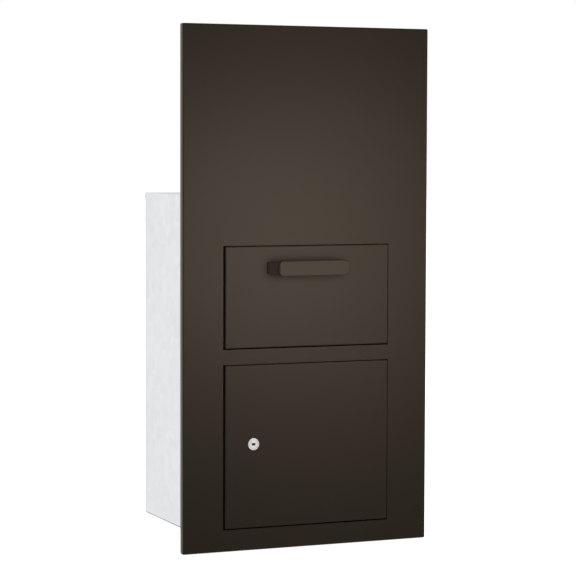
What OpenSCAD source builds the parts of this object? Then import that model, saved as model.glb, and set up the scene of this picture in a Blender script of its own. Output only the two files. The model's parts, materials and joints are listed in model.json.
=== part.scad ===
// Through-wall parcel drop box: face panel, folding hopper door, lockable access door and steel enclosure.
// Millimetres, +Z up, front toward -Y. The wall face is y = 0 and the underside of the enclosure is z = 0.

/* [Face panel] */
// Width of the face panel
panel_w = 473; // [460:1:500]
// Height of the face panel
panel_h = 927; // [900:1:960]
// How far the panel hangs below the enclosure
panel_drop = 17.5; // [15:0.5:22]
// Depth of the folded edge that meets the wall
edge_depth = 12; // [11.5:0.5:16]
// Thickness of the folded sheet
sheet = 2; // [1.6:0.1:2]
// Outside radius of the panel's folds
fold_r = 3; // [2.5:0.1:4]

/* [Openings] */
// Left side of both openings
open_left = -160.5; // [-161.5:0.1:-159.5]
// Right side of both openings
open_right = 159; // [158.5:0.1:160]
// Bottom of the access opening
access_low = 21; // [20:0.1:22]
// Top of the access opening
access_high = 313.4; // [312.5:0.1:314]
// Bottom of the drop opening
drop_low = 340.3; // [340:0.1:341]
// Top of the drop opening
drop_high = 522.8; // [522:0.1:523]

/* [Doors] */
// How far the doors stand in front of the panel
door_proud = 2; // [1:0.1:3]
// Depth of the door pans
door_depth = 14; // [13:0.1:14]
// Outside radius of the door folds
door_r = 2.5; // [2.2:0.1:3]
// Gap at the left of the doors
gap_left = 3.2; // [2.5:0.1:3.5]
// Gap at the right of the doors
gap_right = 1.2; // [1.2:0.1:2]
// Gap under the access door
gap_access_low = 2.2; // [1.5:0.1:2.5]
// Gap over the access door
gap_access_high = 1.2; // [1:0.1:2]
// Gap under the drop door
gap_drop_low = 2; // [1.8:0.1:3]
// Gap over the drop door
gap_drop_high = 1.2; // [1:0.1:2]

/* [Enclosure] */
// Outside width of the enclosure
box_w = 356; // [350:1:360]
// Outside height of the enclosure
box_h = 609.6; // [600:0.1:620]
// Back of the enclosure behind the panel's front
box_back = 362; // [340:1:380]
// Width of the front flanges
flange_w = 18; // [14:1:20]

/* [Hopper] */
// Hinge line behind the panel's front
hopper_y = 6; // [5.5:0.1:6.5]
// Hinge line above the enclosure's underside
hopper_z = 359.5; // [358:0.1:361]
// Radius of the side cheeks
hopper_r = 158; // [150:0.5:158]
// Fall of the closed tray in degrees
tray_fall = 30; // [25:1:32]
// Diameter of the hinge rod
rod_d = 8; // [7:0.5:8]

/* [Handle] */
// Centre of the handle across the panel
handle_x = 0; // [-5:0.5:5]
// Height of the handle's centre
handle_z = 483; // [470:0.5:490]
// Length of the front plate
handle_w = 136; // [120:1:150]
// Height of the front plate
handle_h = 27.5; // [25:0.5:30]
// Distance from the door to the front of the plate
handle_out = 32; // [28:1:36]

/* [Lock] */
// Lock centre across the panel
lock_x = -104.5; // [-106:0.5:-100]
// Lock centre above the enclosure's underside
lock_z = 172; // [160:0.5:180]
// Diameter of the lock's face
lock_face_d = 22; // [21:0.5:24]
// Length of the cam from its centre
cam_len = 66; // [64:0.5:68]

/* [Hidden] */
$fn = 48;
bronze = [0.26, 0.22, 0.18];
galvanised = [0.82, 0.83, 0.84];
zinc = [0.68, 0.69, 0.70];
dark_steel = [0.12, 0.12, 0.12];
chrome = [0.85, 0.85, 0.84];
rubber = [0.08, 0.08, 0.08];
over = 1;
running = 0.05;
fit = 0.1;
wall_x = box_w / 2 - sheet;
flange_x = box_w / 2 + flange_w;
door_left = open_left + gap_left;
door_right = open_right - gap_right;
door_w = door_right - door_left;
door_mid = (door_left + door_right) / 2;
access_z = access_low + gap_access_low;
access_h = access_high - access_low - gap_access_low - gap_access_high;
drop_z = drop_low + gap_drop_low;
drop_h = drop_high - drop_low - gap_drop_low - gap_drop_high;
door_back = door_depth - door_proud;
skin_back = sheet - door_proud;

// frame members behind the panel
jamb_left_x = -162;
jamb_right_x = 160.5;
jamb_back = 16;
jamb_top = 590;
rail_gap = 0.5;
rail_w = jamb_right_x - jamb_left_x;
stop_left = -146;
stop_access_right = 78;
stop_drop_right = 146;
stop_tall = 11;
head_tall = 27;
head_back = 18;
head_stop = 15;
bumper_d = 8;
bumper_gap = 0.2;
drop_bumper_x = 100;
drop_bumper_in = 3;
access_bumper_xs = [-114, 46];
access_bumper_low = 3.5;
access_bumper_high = 2.5;

// fixing studs
stud_d = 5;
stud_end = 11;
stud_x = (box_w + flange_w) / 2;
stud_zs = [60, 190, 320, 450, 580];
nut_flats = 8;
nut_tall = 4;
hex_scale = 1 / cos(30);

// enclosure details
rim = 15;
rim_front = 18;
lid_front = 4;
bend_r = 3;
side_hole_d = 7;
side_hole_ys = [45, 130];
side_hole_zs = [90, 550];
floor_hole_xs = [-130, 130];
floor_hole_ys = [80, 290];
stiff_x = 110;
stiff_low = 640;
stiff_tall = 240;
stiff_foot = 52;
stiff_crown = 26;
stiff_deep = 9;

// access door pivots
pivot_x = 122;
pivot_y = 6.5;
pin_d = 4;
pin_head_d = 4.8;
pin_head_tall = 2;
pin_reach = 9;
plate_w = 30;
plate_thick = 3;

// hopper details
cheek = 2;
cheek_left = door_left + sheet;
cheek_right = door_right - sheet;
cheek_under = 10;
cheek_front = 0.6;
tray_low = 7;
tray_start = -9;
tray_end = 156;
tray_flange_low = 369;
tray_flange_tall = 17;
tray_side = 12;
tray_side_start = 8;
tray_side_end = 150;
rivet_us = [30, 85, 140];
rivet_v = 15;
rivet_d = 4;
rivet_head_d = 7;
rivet_head = 1;
stop_r = 100;
stop_angle = 32.3;
stop_stud_d = 8;
stop_stud_len = 15;
stop_neck_d = 5;
stop_bumper_d = 10;
stop_bumper_end = 23.7;
stop_bumper_xs = [-169, 168.2];
hood_r = 171;
hood_angles = [51, 17];
hood_rim = 12;
bracket_low = 349;
bracket_tall = 22;
bracket_out = 2;
rod_left = jamb_left_x - sheet;
rod_right = jamb_right_x + sheet;
clip_thick = 1.2;
clip_gap = 0.3;
clip_left = cheek_left + cheek + clip_gap;
clip_right = cheek_right - cheek - clip_gap - clip_thick;
clip_d = 11.6;
groove_d = 6.4;
wire = 1.5;
coil_r = 5.1;
coil_pitch = 1.8;
coil_turns = 4;
coil_sweep = 290;
coil_steps = 10;
coil_slices = 16;
spring_inset = 16;
spring_leg = 26;
spring_rise = 2.3;

// handle details
plate_deep = 8;
plate_front = 3;
plate_corner = 8;
plate_lip = 2;
leg_in = 56;
leg_thick = 5.5;
leg_tall = 20.5;
foot_edge = 5;
foot_step = 3;
foot_x = 70.5;
foot_w = 14;
foot_deep = 11;
screw_d = 4;
screw_deep = 8;
screw_head_d = 8;
screw_head = 2.5;
socket_flats = 2.5;

// lock details
lock_face = 2.5;
lock_chamfer = 0.8;
lock_thread_d = 19;
lock_flats = 16;
lock_back = 15;
lock_nut_flats = 24;
lock_nut_tall = 4;
plug_d = 12;
plug_recess = 0.4;
key_w = 6.8;
key_t = 4.2;
key_deep = 10;
drive = 7;
cam_front = 17.2;
cam_thick = 2;
cam_w = 16;
cam_hub = 18;
washer_d = 13;
washer_t = 1;
cam_screw_len = 9;
slot_w = 1.2;
strike_left = -174.5;
strike_w = 12;
strike_tall = 44;
strike_t = 1;

// channel behind the access door
door_stiff_x = 28;
door_stiff_in = 20;
door_stiff_foot = 56;
door_stiff_crown = 28;
door_stiff_deep = 10;

// shared shapes

// moves work measured from the panel's front onto the wall's frame
module from_front() translate([0, -edge_depth, 0]) children();

module bar_y(d, len) rotate([-90, 0, 0]) cylinder(d = d, h = len);

module bar_x(d, len) rotate([0, 90, 0]) cylinder(d = d, h = len);

// rectangle with its two front corners rounded
module front_rounded(w, d, r) {
    translate([-w / 2, r]) square([w, d - r]);
    translate([-w / 2 + r, 0]) square([w - 2 * r, d]);
    for (side = [-1, 1]) translate([side * (w / 2 - r), r]) circle(r);
}

module pan_block(w, h, d, r) intersection() {
    linear_extrude(h) front_rounded(w, d, r);
    translate([w / 2, 0, h / 2]) rotate([0, -90, 0]) linear_extrude(w) front_rounded(h, d, r);
}

// sheet folded back along all four edges
module folded_pan(w, h, d, r, t) difference() {
    pan_block(w, h, d, r);
    translate([0, t, t]) pan_block(w - 2 * t, h - 2 * t, d, r - t);
}

module window(low, high)
    translate([open_left, -over, low]) cube([open_right - open_left, sheet + 2 * over, high - low]);

module at_studs() for (side = [-1, 1], z = stud_zs) translate([side * stud_x, 0, z]) children();

module hat_section(foot, crown, deep, t)
    polygon([[-foot / 2, 0], [-crown / 2 + t, 0], [-crown / 2 + t, deep - t], [crown / 2 - t, deep - t],
        [crown / 2 - t, 0], [foot / 2, 0], [foot / 2, t], [crown / 2, t], [crown / 2, deep],
        [-crown / 2, deep], [-crown / 2, t], [-foot / 2, t]]);

module at_hopper() translate([0, hopper_y, hopper_z]) children();

// local frame of the tray: y along the tray, z across it
module tray_frame() at_hopper() rotate([-tray_fall, 0, 0]) children();

module lying(len) rotate([90, 0, 90]) linear_extrude(len) children();

// panel and enclosure

module face_panel() color(bronze) from_front() difference() {
    translate([0, 0, -panel_drop]) folded_pan(panel_w, panel_h, edge_depth, fold_r, sheet);
    window(access_low, access_high);
    window(drop_low, drop_high);
}

module panel_studs() color(zinc) from_front() at_studs()
    translate([0, sheet, 0]) bar_y(stud_d, stud_end - sheet);

module panel_nuts() color(zinc) from_front() at_studs() translate([0, 2 * sheet, 0]) difference() {
    rotate([-90, 0, 0]) cylinder(d = nut_flats * hex_scale, h = nut_tall, $fn = 6);
    translate([0, -over, 0]) bar_y(stud_d + 2 * fit, nut_tall + 2 * over);
}

module panel_stiffener(side) color(bronze) from_front()
    translate([side * stiff_x, sheet, stiff_low]) linear_extrude(stiff_tall)
        hat_section(stiff_foot, stiff_crown, stiff_deep, sheet);

module stiffener_left() panel_stiffener(-1);

module stiffener_right() panel_stiffener(1);

// back and two sides folded from one sheet, with flanges turned outward at the front
module wrap_section() {
    translate([0, box_back]) mirror([0, 1]) difference() {
        front_rounded(box_w, box_back - sheet, bend_r);
        translate([0, sheet]) front_rounded(box_w - 2 * sheet, box_back, bend_r - sheet);
    }
    for (side = [-1, 1]) translate([side * (wall_x + flange_x) / 2 - (flange_x - wall_x) / 2, sheet])
        square([flange_x - wall_x, sheet]);
}

module enclosure_wrap() color(galvanised) from_front() difference() {
    linear_extrude(box_h) wrap_section();
    at_studs() bar_y(stud_d + 2 * fit, stud_end);
    for (y = side_hole_ys, z = side_hole_zs)
        translate([-box_w / 2 - over, y, z]) bar_x(side_hole_d, box_w + 2 * over);
}

module enclosure_top() color(galvanised) from_front() difference() {
    translate([-wall_x, lid_front, box_h - sheet - rim])
        cube([2 * wall_x, box_back - sheet - lid_front, rim + sheet]);
    translate([-wall_x + sheet, lid_front + sheet, box_h - sheet - rim - over])
        cube([2 * (wall_x - sheet), box_back - lid_front - 3 * sheet, rim + over]);
}

module enclosure_floor() color(galvanised) from_front() difference() {
    translate([-wall_x, sheet, 0]) cube([2 * wall_x, box_back - 2 * sheet, rim + sheet]);
    translate([-wall_x + sheet, 0, sheet])
        cube([2 * (wall_x - sheet), box_back - 2 * sheet, rim + over]);
    translate([-box_w / 2, 0, sheet]) cube([box_w, rim_front, rim + over]);
    for (x = floor_hole_xs, y = floor_hole_ys)
        translate([x, y, -over]) cylinder(d = side_hole_d, h = sheet + 2 * over);
}

module stop_flange(y, low, tall, right)
    translate([stop_left, y, low]) cube([right - stop_left, sheet, tall]);

module head_rail() color(bronze) from_front() {
    low = drop_high + rail_gap;
    translate([jamb_left_x, sheet, low]) cube([rail_w, sheet, head_tall]);
    translate([jamb_left_x, sheet, low]) cube([rail_w, head_back - sheet, sheet]);
    stop_flange(head_back - sheet, low - head_stop, head_stop + sheet, stop_drop_right);
}

module mid_rail() color(bronze) from_front() {
    low = access_high + rail_gap;
    high = drop_low - rail_gap;
    difference() {
        union() {
            translate([jamb_left_x, sheet, low]) cube([rail_w, sheet, high - low]);
            translate([jamb_left_x, sheet, low]) cube([rail_w, jamb_back - sheet, sheet]);
            translate([jamb_left_x, sheet, high - sheet]) cube([rail_w, jamb_back - sheet, sheet]);
            stop_flange(jamb_back - sheet, low - stop_tall, stop_tall + sheet, stop_access_right);
        }
        translate([pivot_x, pivot_y, low - over]) cylinder(d = pin_d + 2 * fit, h = sheet + 2 * over);
    }
}

module sill_rail() color(bronze) from_front() difference() {
    union() {
        translate([jamb_left_x, sheet, sheet]) cube([rail_w, sheet, access_low - sheet]);
        translate([jamb_left_x, sheet, access_low - sheet]) cube([rail_w, jamb_back - sheet, sheet]);
        stop_flange(jamb_back - sheet, access_low - sheet, stop_tall + sheet, stop_access_right);
    }
    translate([pivot_x, pivot_y, access_low - sheet - over])
        cylinder(d = pin_d + 2 * fit, h = sheet + 2 * over);
}

// channel beside the openings, open toward the enclosure's side
module jamb(inner, outer) difference() {
    way = sign(outer - inner);
    translate([min(inner, outer), sheet, sheet])
        cube([abs(outer - inner), jamb_back - sheet, jamb_top - sheet]);
    translate([min(inner + way * sheet, outer + way * over), 2 * sheet, 0])
        cube([abs(outer - inner) - sheet + over, jamb_back - 3 * sheet, jamb_top + over]);
    at_hopper() translate([inner - sheet - over, 0, 0])
        bar_x(rod_d + 2 * fit, 2 * (sheet + over));
}

module jamb_left() color(bronze) from_front() jamb(jamb_left_x, -wall_x);

module jamb_right() color(bronze) from_front() jamb(jamb_right_x, wall_x);

module strike_plate() color(zinc) from_front()
    translate([strike_left, jamb_back, lock_z - strike_tall / 2]) cube([strike_w, strike_t, strike_tall]);

function hood_point(r, a) = [hopper_y + r * cos(a), hopper_z + r * sin(a)];
hood_top = drop_high + rail_gap + sheet;
function hood_line(more) = [[head_back, hood_top + more],
    hood_point(hood_r + more, hood_angles[0]), hood_point(hood_r + more, hood_angles[1])];
function turned_round(line) = [for (i = [len(line) - 1:-1:0]) line[i]];

module hood_band(inner, outer, left, right) translate([left, 0, 0]) lying(right - left)
    polygon(concat(hood_line(inner), turned_round(hood_line(outer))));

// fixed hood over the hopper that stops a hand reaching past the open tray
module baffle_hood() color(galvanised) from_front() {
    hood_band(0, sheet, -wall_x, wall_x);
    hood_band(0, hood_rim, -wall_x, sheet - wall_x);
    hood_band(0, hood_rim, wall_x - sheet, wall_x);
}

// hinges, springs and stops that stay with the enclosure

module hopper_bracket(x) color(dark_steel) from_front() difference() {
    translate([x, sheet, bracket_low]) cube([bracket_out, jamb_back - sheet, bracket_tall]);
    at_hopper() translate([x - over, 0, 0]) bar_x(rod_d + 2 * fit, bracket_out + 2 * over);
}

module hopper_bracket_left() hopper_bracket(jamb_left_x);

module hopper_bracket_right() hopper_bracket(jamb_right_x - bracket_out);

module hopper_rod() color(dark_steel) from_front() at_hopper() difference() {
    translate([rod_left, 0, 0]) bar_x(rod_d, rod_right - rod_left);
    for (x = [clip_left, clip_right]) translate([x - fit, 0, 0]) difference() {
        bar_x(rod_d + over, clip_thick + 2 * fit);
        translate([-over, 0, 0]) bar_x(groove_d, clip_thick + 2 * over);
    }
    for (x = [spring_left_x - wire / 2, spring_right_x + coil_len + wire / 2]) translate([x, 0, 0])
        cylinder(d = wire + 4 * fit, h = rod_d + over, center = true);
}

module rod_clips() color(dark_steel) from_front() at_hopper()
    for (x = [clip_left, clip_right]) translate([x, 0, 0]) difference() {
        bar_x(clip_d, clip_thick);
        translate([-over, 0, 0]) bar_x(groove_d + 2 * fit, clip_thick + 2 * over);
        translate([-over, -groove_d / 2 + fit, -clip_d])
            cube([clip_thick + 2 * over, groove_d - 2 * fit, clip_d]);
    }

coil_len = coil_turns * coil_pitch;
spring_left_x = cheek_left + cheek + spring_inset;
spring_right_x = cheek_right - cheek - spring_inset - coil_len;
function coil_half(i) = wire / 2 * sqrt(1 - pow(2 * i / coil_steps - 1, 2));
function coil_point(i, way) = let (a = coil_sweep * i / coil_steps, r = coil_r + way * coil_half(i))
    [r * cos(a), r * sin(a)];
coil_outline = concat([for (i = [0:coil_steps]) coil_point(i, 1)],
    [for (i = [coil_steps - 1:-1:1]) coil_point(i, -1)]);

// spring of closed turns, one leg under the tray and one hooked into the rod
module torsion_spring(x, hook) color(zinc) from_front() at_hopper() translate([x, 0, 0]) {
    rotate([90, 0, 90]) linear_extrude(coil_len, twist = -360 * coil_turns, slices = coil_slices * coil_turns)
        polygon(coil_outline);
    translate([hook > 0 ? wire / 2 : coil_len - wire / 2, 0, 0]) rotate([-tray_fall, 0, 0])
        translate([0, 0, coil_r]) rotate([-90 + spring_rise, 0, 0]) cylinder(d = wire, h = spring_leg);
    translate([hook > 0 ? coil_len + wire / 2 : -wire / 2, 0, -coil_r - wire / 2])
        cylinder(d = wire, h = coil_r);
    translate([hook > 0 ? coil_len - wire : -wire / 2, 0, -coil_r]) bar_x(wire, wire * 1.5);
}

module torsion_spring_left() torsion_spring(spring_left_x, -1);

module torsion_spring_right() torsion_spring(spring_right_x, 1);

module pivot_plate(low) color(dark_steel) from_front() difference() {
    translate([pivot_x - plate_w / 2, 2 * sheet, low])
        cube([plate_w, jamb_back - 2 * sheet, plate_thick]);
    translate([pivot_x, pivot_y, low - over]) cylinder(d = pin_d + 2 * fit, h = plate_thick + 2 * over);
}

upper_plate_z = access_high + rail_gap + sheet;
lower_plate_z = access_low - sheet - plate_thick;

module pivot_plate_upper() pivot_plate(upper_plate_z);

module pivot_plate_lower() pivot_plate(lower_plate_z);

module pivot_pin_upper() color(dark_steel) from_front() translate([pivot_x, pivot_y, 0]) {
    low = access_high - gap_access_high - pin_reach;
    high = upper_plate_z + plate_thick;
    translate([0, 0, low]) cylinder(d = pin_d, h = high - low);
    translate([0, 0, high]) cylinder(d = pin_head_d, h = pin_head_tall);
}

module pivot_pin_lower() color(dark_steel) from_front() translate([pivot_x, pivot_y, 0]) {
    translate([0, 0, lower_plate_z]) cylinder(d = pin_d, h = access_z + pin_reach - lower_plate_z);
    translate([0, 0, lower_plate_z - pin_head_tall]) cylinder(d = pin_head_d, h = pin_head_tall);
}

module bumper(x, z, front, back) translate([x, front, z]) bar_y(bumper_d, back - front);

module drop_door_bumpers() color(rubber) from_front() for (side = [-1, 1])
    bumper(door_mid + side * drop_bumper_x, drop_z + drop_h - drop_bumper_in,
        door_back + bumper_gap, head_back - sheet);

module access_door_bumpers() color(rubber) from_front()
    for (x = access_bumper_xs, z = [access_z + access_bumper_low, access_z + access_h - access_bumper_high])
        bumper(x, z, door_back + bumper_gap, jamb_back - sheet);

module hopper_stop_bumpers() color(rubber) from_front()
    for (x = stop_bumper_xs) translate([x, jamb_back, hopper_z + stop_r * sin(stop_angle + 45)])
        bar_y(stop_bumper_d, stop_bumper_end - jamb_back);

// drop door and hopper

module drop_door() color(bronze) from_front() difference() {
    translate([door_mid, -door_proud, drop_z]) folded_pan(door_w, drop_h, door_depth, door_r, sheet);
    at_hopper() translate([door_left - over, 0, 0]) bar_x(rod_d + 2 * running, door_w + 2 * over);
    for (side = [-1, 1]) translate([handle_x + side * foot_x, -door_proud - over, handle_z])
        bar_y(screw_d + 2 * fit, sheet + 2 * over);
}

module plate_shape(w, h, r) {
    square([w, h - 2 * r], center = true);
    square([w - 2 * r, h], center = true);
    for (x = [-1, 1], z = [-1, 1]) translate([x * (w / 2 - r), z * (h / 2 - r)]) circle(r);
}

// one leg and its foot, seen along the leg's height
module leg_section() {
    top = over - handle_out;
    foot_in = foot_x - foot_w / 2;
    foot_out = foot_x + foot_w / 2;
    polygon([[leg_in, top], [leg_in + leg_thick, top], [foot_out, -foot_edge], [foot_out, 0],
        [foot_in, 0], [foot_in, -foot_deep], [foot_in + foot_step, -foot_deep]]);
}

// standing pull with a lipped front plate on two splayed legs
module handle() color(bronze) from_front() translate([handle_x, -door_proud, handle_z]) difference() {
    union() {
        difference() {
            translate([0, -handle_out, 0]) rotate([-90, 0, 0])
                linear_extrude(plate_deep) plate_shape(handle_w, handle_h, plate_corner);
            translate([0, plate_front - handle_out, 0]) rotate([-90, 0, 0]) linear_extrude(plate_deep)
                plate_shape(handle_w - 2 * plate_lip, handle_h - 2 * plate_lip, plate_corner - plate_lip);
        }
        for (side = [-1, 1]) scale([side, 1, 1]) translate([0, 0, -leg_tall / 2])
            linear_extrude(leg_tall) leg_section();
    }
    for (side = [-1, 1]) translate([side * foot_x, -screw_deep - over, 0])
        bar_y(screw_d + 2 * fit, screw_deep + 2 * over);
}

module handle_screws() color(zinc) from_front()
    for (side = [-1, 1]) translate([handle_x + side * foot_x, skin_back, handle_z]) {
        translate([0, -sheet - screw_deep, 0]) bar_y(screw_d, sheet + screw_deep);
        difference() {
            bar_y(screw_head_d, screw_head);
            translate([0, screw_head / 2, 0]) rotate([-90, 0, 0])
                cylinder(d = socket_flats * hex_scale, h = screw_head, $fn = 6);
        }
    }

module cheek_shape() intersection() {
    translate([hopper_y, hopper_z]) circle(hopper_r, $fn = 96);
    translate([hopper_y, hopper_z]) rotate(-tray_fall) translate([-hopper_r, -cheek_under])
        square([2 * hopper_r, 2 * hopper_r]);
    translate([cheek_front, 0]) square([2 * hopper_r, hopper_z + hopper_r]);
}

module hopper_cheek(x) color(galvanised) from_front() difference() {
    translate([x, 0, 0]) lying(cheek) cheek_shape();
    at_hopper() translate([x - over, 0, 0]) bar_x(rod_d + 2 * running, cheek + 2 * over);
    at_rivets() translate([x - over, 0, 0]) bar_x(rivet_d + 2 * fit, cheek + 2 * over);
    at_stop() translate([x - over, 0, 0]) bar_x(stop_neck_d + 2 * fit, cheek + 2 * over);
}

module at_rivets() tray_frame() for (u = rivet_us) translate([0, u, rivet_v]) children();

module at_stop() at_hopper() rotate([stop_angle, 0, 0]) translate([0, stop_r, 0]) children();

module hopper_cheek_left() hopper_cheek(cheek_left);

module hopper_cheek_right() hopper_cheek(cheek_right - cheek);

module hopper_tray() color(galvanised) from_front() {
    left = cheek_left + cheek;
    right = cheek_right - cheek;
    difference() {
        tray_frame() {
            translate([left, tray_start, tray_low]) cube([right - left, tray_end - tray_start, sheet]);
            for (x = [left, right - sheet]) translate([x, tray_side_start, tray_low])
                cube([sheet, tray_side_end - tray_side_start, tray_side + sheet]);
        }
        at_rivets() translate([left - over, 0, 0]) bar_x(rivet_d + 2 * fit, right - left + 2 * over);
    }
    translate([left, cheek_front, tray_flange_low]) cube([right - left, sheet, tray_flange_tall]);
}

// rivet through the cheek and the tray's side flange
module hopper_rivet(x) translate([x, 0, 0]) {
    bar_x(rivet_d, cheek + sheet);
    translate([-rivet_head, 0, 0]) bar_x(rivet_head_d, rivet_head);
    translate([cheek + sheet, 0, 0]) bar_x(rivet_head_d, rivet_head);
}

module hopper_rivets() color(zinc) from_front() at_rivets() {
    hopper_rivet(cheek_left);
    hopper_rivet(cheek_right - cheek - sheet);
}

module stop_stud(face, way) translate([face, 0, 0]) scale([way, 1, 1]) {
    bar_x(stop_stud_d, stop_stud_len);
    translate([-cheek, 0, 0]) bar_x(stop_neck_d, cheek);
    translate([-cheek - rivet_head, 0, 0]) bar_x(rivet_head_d, rivet_head);
}

module hopper_stop_studs() color(zinc) from_front() at_stop() {
    stop_stud(cheek_left, -1);
    stop_stud(cheek_right, 1);
}

// access door and lock

module lock_hole(d, flats, len) intersection() {
    bar_y(d, len);
    translate([-d, 0, -flats / 2]) cube([2 * d, len, flats]);
}

module at_lock() translate([lock_x, 0, lock_z]) children();

module access_door() color(bronze) from_front() difference() {
    translate([door_mid, -door_proud, access_z]) folded_pan(door_w, access_h, door_depth, door_r, sheet);
    for (z = [access_z, access_z + access_h - sheet]) translate([pivot_x, pivot_y, z - over])
        cylinder(d = pin_d + 2 * running, h = sheet + 2 * over);
    at_lock() translate([0, -door_proud - over, 0])
        lock_hole(lock_thread_d + 2 * fit, lock_flats + 2 * fit, sheet + 2 * over);
}

module access_door_stiffener() color(bronze) from_front()
    translate([door_stiff_x, skin_back, access_z + door_stiff_in])
        linear_extrude(access_h - 2 * door_stiff_in)
            hat_section(door_stiff_foot, door_stiff_crown, door_stiff_deep, sheet);

module lock_body() color(chrome) from_front() at_lock() difference() {
    union() {
        translate([0, -door_proud - lock_face, 0]) rotate([-90, 0, 0]) {
            cylinder(d1 = lock_face_d - 2 * lock_chamfer, d2 = lock_face_d, h = lock_chamfer);
            translate([0, 0, lock_chamfer]) cylinder(d = lock_face_d, h = lock_face - lock_chamfer);
        }
        translate([0, -door_proud, 0]) lock_hole(lock_thread_d, lock_flats, lock_back + door_proud);
    }
    translate([0, -door_proud - lock_face - over, 0])
        bar_y(plug_d + 2 * running, lock_back + lock_face + door_proud + 2 * over);
}

module lock_nut() color(zinc) from_front() at_lock() translate([0, skin_back, 0]) difference() {
    rotate([-90, 0, 0]) cylinder(d = lock_nut_flats * hex_scale, h = lock_nut_tall, $fn = 6);
    translate([0, -over, 0]) bar_y(lock_thread_d + 2 * fit, lock_nut_tall + 2 * over);
}

plug_front = plug_recess - door_proud - lock_face;

module lock_plug() color(chrome) from_front() at_lock() difference() {
    union() {
        translate([0, plug_front, 0]) bar_y(plug_d, lock_back - plug_front);
        translate([-drive / 2, lock_back - over, -drive / 2])
            cube([drive, cam_front + cam_thick - lock_back + over - fit, drive]);
    }
    translate([-key_w / 2, plug_front - over, -key_t / 2]) cube([key_w, key_deep + over, key_t]);
    translate([0, cam_front + cam_thick - cam_screw_len, 0]) bar_y(screw_d + 2 * fit, cam_screw_len + over);
}

// flat cam, upright when the lock is open
module lock_cam() color(zinc) from_front() at_lock() translate([0, cam_front, 0]) difference() {
    union() {
        bar_y(cam_hub, cam_thick);
        translate([-cam_w / 2, 0, 0]) cube([cam_w, cam_thick, cam_len - cam_w / 2]);
        translate([0, 0, cam_len - cam_w / 2]) bar_y(cam_w, cam_thick);
    }
    translate([-drive / 2 - fit, -over, -drive / 2 - fit])
        cube([drive + 2 * fit, cam_thick + 2 * over, drive + 2 * fit]);
}

cam_back = cam_front + cam_thick;

module cam_washer() color(zinc) from_front() at_lock() translate([0, cam_back, 0]) difference() {
    bar_y(washer_d, washer_t);
    translate([0, -over, 0]) bar_y(screw_d + 2 * fit, washer_t + 2 * over);
}

module cam_screw() color(zinc) from_front() at_lock() translate([0, cam_back + washer_t, 0]) {
    translate([0, fit - cam_screw_len, 0]) bar_y(screw_d, cam_screw_len);
    difference() {
        bar_y(screw_head_d, screw_head);
        translate([-screw_head_d, screw_head / 2, -slot_w / 2])
            cube([2 * screw_head_d, screw_head, slot_w]);
    }
}

face_panel();
panel_studs();
panel_nuts();
stiffener_left();
stiffener_right();
enclosure_wrap();
enclosure_top();
enclosure_floor();
head_rail();
mid_rail();
sill_rail();
jamb_left();
jamb_right();
strike_plate();
baffle_hood();
hopper_bracket_left();
hopper_bracket_right();
hopper_rod();
rod_clips();
torsion_spring_left();
torsion_spring_right();
pivot_plate_upper();
pivot_plate_lower();
pivot_pin_upper();
pivot_pin_lower();
drop_door_bumpers();
access_door_bumpers();
hopper_stop_bumpers();
drop_door();
handle();
handle_screws();
hopper_cheek_left();
hopper_cheek_right();
hopper_tray();
hopper_rivets();
hopper_stop_studs();
access_door();
access_door_stiffener();
lock_body();
lock_nut();
lock_plug();
lock_cam();
cam_washer();
cam_screw();
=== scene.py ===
import json
import math

import bpy
from mathutils import Euler, Matrix, Vector


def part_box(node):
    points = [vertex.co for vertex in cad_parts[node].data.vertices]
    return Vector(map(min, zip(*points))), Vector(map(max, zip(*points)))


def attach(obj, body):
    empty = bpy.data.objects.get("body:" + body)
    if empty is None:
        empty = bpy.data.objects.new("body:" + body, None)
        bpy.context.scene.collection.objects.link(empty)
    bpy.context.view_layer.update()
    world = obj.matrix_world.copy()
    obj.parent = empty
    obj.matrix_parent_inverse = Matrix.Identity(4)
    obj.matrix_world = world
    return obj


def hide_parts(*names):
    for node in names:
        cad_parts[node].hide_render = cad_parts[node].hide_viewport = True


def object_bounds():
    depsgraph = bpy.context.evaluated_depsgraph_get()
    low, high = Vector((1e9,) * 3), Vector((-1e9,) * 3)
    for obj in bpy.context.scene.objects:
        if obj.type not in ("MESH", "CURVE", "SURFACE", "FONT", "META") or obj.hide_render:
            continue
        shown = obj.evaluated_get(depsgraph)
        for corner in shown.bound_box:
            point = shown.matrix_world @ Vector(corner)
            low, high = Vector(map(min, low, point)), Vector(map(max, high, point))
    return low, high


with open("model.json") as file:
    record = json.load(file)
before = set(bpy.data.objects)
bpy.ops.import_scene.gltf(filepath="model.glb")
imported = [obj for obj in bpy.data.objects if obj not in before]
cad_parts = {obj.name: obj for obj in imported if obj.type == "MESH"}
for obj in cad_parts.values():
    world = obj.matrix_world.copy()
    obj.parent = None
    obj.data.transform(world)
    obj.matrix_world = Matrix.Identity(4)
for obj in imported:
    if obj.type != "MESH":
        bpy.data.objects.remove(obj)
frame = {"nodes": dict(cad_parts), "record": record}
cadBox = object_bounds()
mm = 0.001
print("frame loaded:", len(frame["nodes"]), "nodes")


class Wire:
    def __init__(self, finish, socket):
        self.finish = finish
        self.socket = socket

    def __add__(self, other):
        return self.finish.maths("ADD", self, other)

    def __radd__(self, other):
        return self.finish.maths("ADD", other, self)

    def __sub__(self, other):
        return self.finish.maths("SUBTRACT", self, other)

    def __rsub__(self, other):
        return self.finish.maths("SUBTRACT", other, self)

    def __mul__(self, other):
        return self.finish.maths("MULTIPLY", self, other)

    def __rmul__(self, other):
        return self.finish.maths("MULTIPLY", other, self)

    def held(self):
        return self.finish.maths("ADD", self, 0.0, clamp=True)  # kept between 0 and 1


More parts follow.
